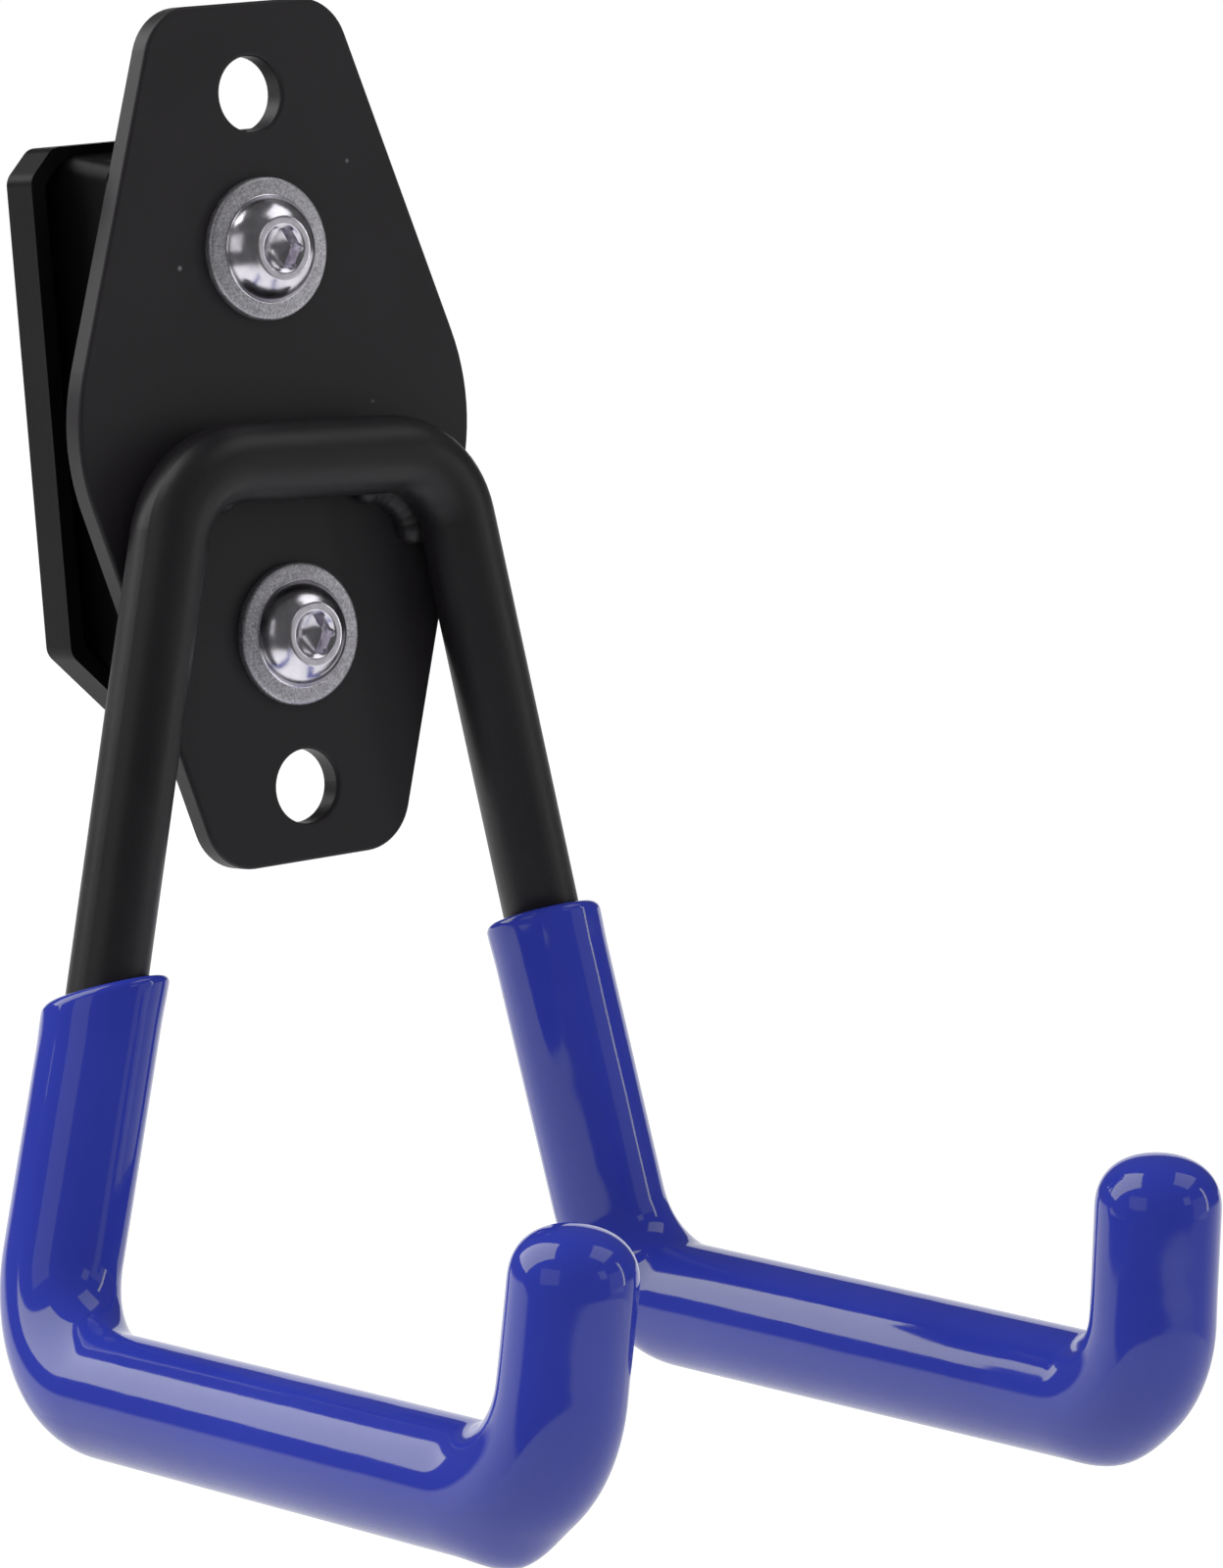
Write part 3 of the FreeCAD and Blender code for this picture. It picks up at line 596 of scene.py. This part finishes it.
# %% How each grip's skin departs from its rod, in millimetres
skins = {
    -1: {"foot": (-1.55, 0, -0.77), "knuckle": (-0.49, 0.80), "tip": (0.11, -1.10),
         "bends": (15.6, 16.0), "radii": (7.38, 7.72, 7.82, 7.40), "drop": 1.25},
    1: {"foot": (1.17, 0, -0.91), "knuckle": (0.60, 0.39), "tip": (-0.96, -0.95),
        "bends": (13.3, 12.6), "radii": (7.29, 7.94, 7.81, 7.51), "drop": 0.5},
}

# %% Both grips
dip_slant = math.radians(15)
level_normal = (0, math.sin(dip_slant), math.cos(dip_slant))
rim_roll = 0.12 * MM
rim_width = 1.4 * MM
drop_depth = 6.65 * MM
drop_setback = 0.42
drop_slant = 0.15


def make_grip(side, node_name):
    """Grip on one side (1 right, -1 left); it takes the place of the construction node."""
    skin = skins[side]
    low, high = on_side(side, foot), on_side(side, shoulder)
    leg_direction = (high - low).normalized()
    rim_middle = low + leg_direction * ((rim_z - low.z) / leg_direction.z)
    tip_end = knuckle + tip_direction * (tip_rise - side * tip_uneven + grip_radius)
    points = [rim_middle, low + Vector(skin["foot"]) * MM]
    for point, (across, up) in ((knuckle, skin["knuckle"]), (tip_end, skin["tip"])):
        points.append(on_side(side, point) + (level_right * across + Vector((0, 0, up))) * MM)
    bends = [bend * MM for bend in skin["bends"]]
    leg, arm_start, arm_end, tip = [radius * MM for radius in skin["radii"]]
    path = polyline(node_name + "_path", points, bends)
    length = path_length(points, bends)
    to_foot = (points[1] - points[0]).length
    to_knuckle = to_foot + (points[2] - points[1]).length - 2 * MM
    marks = [(0, leg + rim_roll), (rim_width, leg + rim_roll), (6 * MM, leg),
             (to_foot - 10 * MM, leg), (to_foot + 6 * MM, arm_start),
             (to_knuckle - 10 * MM, arm_end), (to_knuckle + 8 * MM, tip), (length, tip)]
    arm = (points[2] - points[1]).normalized()
    below = points[2] - arm * drop_setback * bends[1] - Vector((0, 0, drop_depth))
    base = polyline(node_name + "_silhouette", grip_silhouette(length, marks))
    piece = plain_mesh("dipped_" + node_name, base, dipping, {
        "Path": path, "Sides": 96, "Material": vinyl, "Rim middle": rim_middle,
        "Leg direction": leg_direction, "Level normal": level_normal,
        "Drop point": below,
        "Drop pull": (0, -drop_slant * skin["drop"] * MM, -skin["drop"] * MM)})
    bpy.data.objects.remove(path)
    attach(piece, "root")
    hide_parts(node_name)


make_grip(1, "right_grip")
make_grip(-1, "left_grip")

# %% [markdown]
# ## Weld beads
# A bead joins rod and plate in the notch inside each upper bend. A weld is laid in small steps,
# so its silhouette is a row of low swells between two round ends, and the powder coat softens
# them. It is swept by the same tree as the grips, along the notch.

# %% Path of a bead in the notch
bead_radius = 2.2 * MM
bead_sink = 0.35 * bead_radius
crossbar_bend = 10.5 * MM
bead_run = 0.4 * MM
leg_up = (shoulder - foot).normalized()
inward = Vector((-1, 0, 0))
half_turn = inward.angle(-leg_up) / 2
notch = rod_radius - bead_sink
bead_bend = crossbar_bend - notch
bead_corner = shoulder + (inward - leg_up).normalized() * (notch / math.sin(half_turn))
bead_corner.y = plate_front - bead_sink
bead_reach = bead_bend / math.tan(half_turn) + bead_run
print("bead bends by", round(bead_bend / MM, 2), "mm")

# %% Silhouette of a bead
swell_height = 0.018
swell_length = 1.35 * MM


def bead_silhouette(length):
    """Swelling thicknesses of a bead that starts and ends round."""
    points = []
    steps = 120
    for step in range(steps + 1):
        along = length * step / steps
        from_end = min(along, length - along)
        round_end = math.sqrt(max(0, 1 - (1 - min(1, from_end / bead_radius)) ** 2))
        swell = 1 + swell_height * abs(math.sin(math.pi * along / swell_length)) - swell_height
        points.append((along, bead_radius * round_end * swell))
    return points


welding = bpy.data.node_groups.new("weld_bead", "GeometryNodeTree")
given, tube = begin_sweep(welding)
end_sweep(welding, given, tube)
print("tree:", welding.name, len(welding.nodes), "nodes")

# %% Both beads
for side, node_name in ((1, "right_weld"), (-1, "left_weld")):
    ends = (bead_corner + inward * (bead_reach + bead_radius), bead_corner,
            bead_corner - leg_up * (bead_reach + bead_radius))
    points = [on_side(side, point) for point in ends]
    path = polyline(node_name + "_path", points, [bead_bend])
    base = polyline(node_name + "_silhouette", bead_silhouette(path_length(points, [bead_bend])))
    # The beads take the rod's darker coat, and with it its painted shade.
    bead = plain_mesh("bead_" + node_name, base, welding, {
        "Path": path, "Sides": 32, "Material": painted_shade_rod_coat})
    bpy.data.objects.remove(path)
    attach(bead, "root")
    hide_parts(node_name)

# %% [markdown]
# ## Screws and nuts
# A turned part is a stack of rings. Each ring has a depth along the axis and a radius that may
# change with the angle: the same for a round ring, the distance to the nearest flat for a
# hexagon, and a value that winds round for a thread. Neighbouring rings are joined by faces. Each
# screw and nut is written out at its own place, since each takes the place of its own node.

# %% Stack of rings
SIDES = 96
angles = [2 * math.pi * i / SIDES for i in range(SIDES)]
sharp_angle = math.radians(32)


def hexagon(flats):
    """Radius of a hexagon at each angle, from its width across flats."""
    return lambda angle: flats / 2 / math.cos((angle % (math.pi / 3)) - math.pi / 6)


def stack_rings(name, rings, centre, closed_loop):
    """Mesh from (depth, radius or radius by angle, material index) rings round the Y axis."""
    mesh = bpy.data.meshes.new(name)
    vertices, faces, finishes = [], [], []
    for depth, radius, finish in rings:
        for angle in angles:
            out = radius(angle) if callable(radius) else radius
            vertices.append((centre.x + out * math.cos(angle), centre.y + depth,
                             centre.z + out * math.sin(angle)))
    count = len(rings) if closed_loop else len(rings) - 1
    for i in range(count):
        below, above = i * SIDES, ((i + 1) % len(rings)) * SIDES
        for j in range(SIDES):
            k = (j + 1) % SIDES
            faces.append((below + j, below + k, above + k, above + j))
            finishes.append(rings[i][2])
    mesh.from_pydata(vertices, [], faces)
    mesh.polygons.foreach_set("material_index", finishes)
    shell = bmesh.new()
    shell.from_mesh(mesh)
    bmesh.ops.remove_doubles(shell, verts=shell.verts, dist=1e-6)
    bmesh.ops.recalc_face_normals(shell, faces=shell.faces)
    for edge in shell.edges:
        sharp = len(edge.link_faces) == 2 and edge.calc_face_angle(0) > sharp_angle
        edge.smooth = not sharp
    open_edges = sum(1 for edge in shell.edges if len(edge.link_faces) != 2)
    shell.to_mesh(mesh)
    shell.free()
    mesh.polygons.foreach_set("use_smooth", [True] * len(mesh.polygons))
    piece = bpy.data.objects.new(name, mesh)
    bpy.context.scene.collection.objects.link(piece)
    print(name, len(mesh.polygons), "faces,", open_edges, "open edges")
    return piece


# %% [markdown]
# ### Flanged button screws
# The head is a wide sandy flange, a polished dome with a flat top, and a hexagon socket with a
# small chamfer and a drill point at its bottom. The thread is rolled: a rounded ridge that winds
# round the shank, 1.25 mm a turn.

# %% Arc of a profile


def arc(start, stop, radius, steps):
    """Points of an arc from start to stop as (depth, radius) pairs, bulging outwards."""
    start, stop = Vector(start), Vector(stop)
    chord = stop - start
    side = Vector((chord.y, -chord.x)).normalized()
    middle = (start + stop) / 2
    if side.y > 0:
        side = -side
    centre = middle + side * math.sqrt(radius ** 2 - (chord.length / 2) ** 2)
    first, last = start - centre, stop - centre
    points = []
    for step in range(steps + 1):
        share = step / steps
        way = first.lerp(last, share).normalized()
        points.append(tuple(centre + way * radius))
    return points


# %% Radius of the rolled thread
thread_radius = 4 * MM
thread_pitch = 1.25 * MM
thread_depth = 0.7 * MM


def threaded(depth):
    """Radius by angle of the thread at one depth."""
    def radius(angle):
        wave = (depth / thread_pitch - angle / (2 * math.pi)) % 1
        return thread_radius - thread_depth * (1 - math.sin(math.pi * wave)) ** 1.3
    return radius


# %% Rings of a screw
socket_flats = 5 * MM


def screw_rings():
    """Rings from the thread's end, over the head, to the middle of the socket."""
    rings = [(12 * MM, 0, 0), (12 * MM, 3.0 * MM, 0), (11.8 * MM, 3.1 * MM, 0)]
    rings += [((11.7 - 0.125 * i) * MM, threaded((11.7 - 0.125 * i) * MM), 0) for i in range(78)]
    rings += [(1.9 * MM, 3.95 * MM, 0), (0, 3.95 * MM, 0), (0, 8.75 * MM, 1)]
    rings += [(-depth * MM, radius * MM, 1) for depth, radius in
              ((0.05, 8.85), (0.2, 8.9), (0.8, 8.9), (1.0, 8.85), (1.15, 8.74), (1.24, 8.58),
               (1.30, 8.35), (1.36, 7.6), (1.40, 6.95))]
    rings += [(-1.43 * MM, 6.75 * MM, 0), (-1.5 * MM, 6.64 * MM, 0)]
    rings += [(depth, radius, 0) for depth, radius in
              arc((-1.62 * MM, 6.58 * MM), (-4.22 * MM, 4.22 * MM), 5.2 * MM, 16)]
    rings += [(-depth * MM, radius * MM, 0) for depth, radius in
              ((4.32, 4.08), (4.38, 3.92), (4.40, 3.70), (4.40, 3.2), (4.38, 3.05), (4.30, 2.93))]
    socket = hexagon(socket_flats)
    rings += [(-3.95 * MM, socket, 0), (-1.75 * MM, socket, 0), (-1.6 * MM, 2.3 * MM, 0),
              (-1.1 * MM, 0.9 * MM, 0), (-0.9 * MM, 0, 0)]
    return rings


print("rings of a screw:", len(screw_rings()))

# %% Both screws
for node_name, z in (("upper_screw", upper_screw_z), ("lower_screw", lower_screw_z)):
    screw = stack_rings("turned_" + node_name, screw_rings(), Vector((0, plate_front, z)), False)
    screw.data.materials.append(polished_zinc)
    screw.data.materials.append(sandy_zinc)
    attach(screw, "root")
    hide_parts(node_name)

# %% [markdown]
# ### Nuts
# A nut is a hexagon whose corners are turned off by a cone at both faces, which leaves the curved
# edge on each flat. Taking the smaller of the hexagon's and the cone's radius at each angle gives
# that edge by itself.

# %% Rings of a nut
nut_height = 6.5 * MM
nut_flats = 13 * MM
nut_face_radius = 0.475 * nut_flats
nut_chamfer = math.radians(30)
bracket_sheet = 2 * MM
bore_mouth = 4.6 * MM
mouth_depth = 0.6 * MM


def nut_rings():
    """Rings round the outside, over both faces and back through the bore."""
    outline = hexagon(nut_flats)
    steps = [nut_height * i / 26 for i in range(27)]

    def turned(depth):
        cone = nut_face_radius + min(depth, nut_height - depth) / math.tan(nut_chamfer)
        return lambda angle: min(outline(angle), cone)

    top = bracket_sheet + nut_height
    rings = [(bracket_sheet + depth, turned(depth), 0) for depth in steps]
    rings += [(top, bore_mouth, 0), (top - mouth_depth, thread_radius, 0)]
    rings += [(bracket_sheet + mouth_depth, thread_radius, 0), (bracket_sheet, bore_mouth, 0)]
    return rings


print("rings of a nut:", len(nut_rings()))

# %% Both nuts
for node_name, z in (("upper_nut", upper_screw_z), ("lower_nut", lower_screw_z)):
    nut = stack_rings("turned_" + node_name, nut_rings(), Vector((0, 0, z)), True)
    nut.data.materials.append(polished_zinc)
    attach(nut, "root")
    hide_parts(node_name)

# %% [markdown]
# ## Floor
# The picture was cut out on white, and the hook hangs well above anything it could stand on. A
# pale round sheet lies below it, with a runway that goes far back, away from the camera. Far back
# it adds the light that it lacks to look white, and only for rays of the camera, of reflections
# and through glass, so that it still keeps the object's soft shadow.

# %% Light Path: what the camera, gloss and glass see


def seen_rays(tree):
    """One for rays of the camera, of reflections and through glass, else zero."""
    ray = tree.nodes.new("ShaderNodeLightPath")
    first = tree.nodes.new("ShaderNodeMath")
    first.operation = "MAXIMUM"
    tree.links.new(ray.outputs["Is Camera Ray"], first.inputs[0])
    tree.links.new(ray.outputs["Is Glossy Ray"], first.inputs[1])
    second = tree.nodes.new("ShaderNodeMath")
    second.operation = "MAXIMUM"
    tree.links.new(first.outputs["Value"], second.inputs[0])
    tree.links.new(ray.outputs["Is Transmission Ray"], second.inputs[1])
    return second.outputs["Value"]


# %% Floor with its runway
away = Vector((gaze.x, gaze.y, 0)).normalized()
floor_z = cad_box[0][2] - 420 * MM
floor_radius = 1.1
runway_length = 12
runway_spread = 0.74
rim_steps = 72

rim = []
for step in range(rim_steps):
    angle = 2 * math.pi * step / rim_steps
    outward = Vector((math.cos(angle), math.sin(angle), 0))
    rim.append(outward * (runway_length if outward.dot(away) > runway_spread else floor_radius))
floor_mesh = bpy.data.meshes.new("floor")
floor_mesh.from_pydata([(0, 0, floor_z)] + [(point.x, point.y, floor_z) for point in rim], [],
                       [(0, i + 1, (i + 1) % rim_steps + 1) for i in range(rim_steps)])
floor = bpy.data.objects.new("floor", floor_mesh)
bpy.context.scene.collection.objects.link(floor)
print("floor at", round(floor_z, 3))

# %% Material of the floor, white far back
pale, pale_tree, pale_shader, pale_place = new_material("pale_floor", (0.8, 0.8, 0.8), 0.9)
pale_shader.inputs["Specular IOR Level"].default_value = 0
pale_shader.inputs["Emission Color"].default_value = (1, 1, 1, 1)
distance_back = pale_tree.nodes.new("ShaderNodeVectorMath")
distance_back.operation = "DOT_PRODUCT"
distance_back.inputs[1].default_value = away
pale_tree.links.new(pale_place, distance_back.inputs[0])
far_part = spread(pale_tree, distance_back.outputs["Value"], 0, 0.46, 1.2, 1.8)
pale_tree.links.new(times(pale_tree, seen_rays(pale_tree), far_part),
                    pale_shader.inputs["Emission Strength"])
floor.data.materials.append(pale)
print("floor material:", pale.name)

# %% [markdown]
# ## Surroundings
# Gloss shows what lies round an object, so the world is a function of the ray's direction. Behind
# the hook stands a white backdrop, low down lies a pale zone that is brightest at the back, and
# the rest is a dim room. These are what the camera, reflections and glass see. Matt surfaces need
# only a soft light, so every other ray gets a plain level that is stronger from below.

# %% World and the direction of a ray
world = bpy.data.worlds.new("world")
bpy.context.scene.world = world
world.use_nodes = True
sky = world.node_tree
background = sky.nodes["Background"]
background.inputs["Color"].default_value = (1, 1, 1, 1)
direction = sky.nodes.new("ShaderNodeTexCoord").outputs["Generated"]
parts = sky.nodes.new("ShaderNodeSeparateXYZ")
sky.links.new(direction, parts.inputs["Vector"])
print("world:", world.name)

# %% Helpers for the sky


def facing(vector):
    """How far a direction of the sky points along a vector."""
    node = sky.nodes.new("ShaderNodeVectorMath")
    node.operation = "DOT_PRODUCT"
    node.inputs[1].default_value = vector
    sky.links.new(direction, node.inputs[0])
    return node.outputs["Value"]


def below(edge):
    """One where the sky lies below an edge, softly falling to nothing above it."""
    node = sky.nodes.new("ShaderNodeMath")
    node.operation = "SUBTRACT"
    sky.links.new(parts.outputs["Z"], node.inputs[0])
    sky.links.new(edge, node.inputs[1])
    return spread(sky, node.outputs["Value"], 1, 0, -0.03, 0.03)


def mixed(factor, low, high):
    """Value that runs from low to high with the factor; each may be a link or a number."""
    return joined(sky, "ShaderNodeMix", [("Factor", factor), ("A", low), ("B", high)]).outputs["Result"]


# %% Low zone: where it ends, and how bright it is
front_edge = -0.42
back_edge = 0.03
right_edge = -0.12
edge_back = spread(sky, parts.outputs["Y"], front_edge, back_edge, 0.15, 0.7)
edge_right = spread(sky, parts.outputs["X"], front_edge, right_edge, 0.3, 0.9)
low_edge = number_math(sky, "MAXIMUM", edge_back, edge_right)
low_level = spread(sky, facing((0.15, 0.99, 0)), 0.40, 1.2, -0.4, 0.6)
print("low zone ends at z", front_edge, "in front and", back_edge, "at the back")

# %% Dim room, white backdrop and even light
room_level = 0.07
white = 1.0
backdrop_edge = spread(sky, facing(away), -1.0, 0.46, 0.85, 0.95)
room = mixed(below(low_edge), room_level, low_level)
seen = mixed(below(backdrop_edge), room, white)
lit = spread(sky, parts.outputs["Z"], 1.15, 0.76, -0.25, 0.15)
sky.links.new(mixed(seen_rays(sky), lit, seen), background.inputs["Strength"])
print("world nodes:", len(sky.nodes))

# %% [markdown]
# ## Lamps
# The lamps are soft boxes, and each is there for something that the photograph shows. The window
# gives the long pale bands on the arms and the arcs over the tips' domes, and the stick the thin
# bright line beside them. The wide box at the left makes the left third of each leg paler, the
# small one in front gives a faint patch on the tips, and the two at the right light the plate's
# face and the screws' domes. Each box is given by its radiance, and its power follows from its
# area.

# %% Soft boxes
lamp_aim = Vector((0, -50, -60)) * MM


def soft_box(name, towards, distance, width, height, radiance, turn=0.0):
    """Rectangular lamp that faces the hook from a direction; its power gives its radiance."""
    lamp = bpy.data.lights.new(name, "AREA")
    lamp.shape = "RECTANGLE"
    lamp.size = width
    lamp.size_y = height
    lamp.energy = radiance * math.pi * width * height
    place = Vector(towards).normalized() * distance
    turned = (-place).to_track_quat("-Z", "Y") @ Matrix.Rotation(turn, 3, "Z").to_quaternion()
    piece = bpy.data.objects.new(name, lamp)
    piece.matrix_world = Matrix.LocRotScale(place + lamp_aim, turned, None)
    bpy.context.scene.collection.objects.link(piece)
    print(name, "power", round(lamp.energy, 2), "W")


# %% Six lamps
soft_box("window", (-0.443, 0.503, 0.741), 1.4, 1.16, 1.6, 3.3, math.radians(-15))
soft_box("right_stick", (0.85, -0.53, 0.12), 1.4, 0.10, 0.9, 3.8)
soft_box("left_front", (-0.92, -0.21, 0.31), 1.5, 0.90, 0.80, 0.6)
soft_box("front", (0.275, -0.93, 0.26), 1.8, 0.42, 0.5, 0.8)
soft_box("front_right", (0.66, -0.75, -0.05), 1.6, 0.9, 0.9, 0.36)
soft_box("top_right", (0.52, -0.36, 0.77), 1.5, 1.0, 0.65, 1.3)

# %% [markdown]
# ## The view, and the end
# The Standard view puts no film curve on the colours.

# %% View transform
bpy.context.scene.view_settings.view_transform = "Standard"
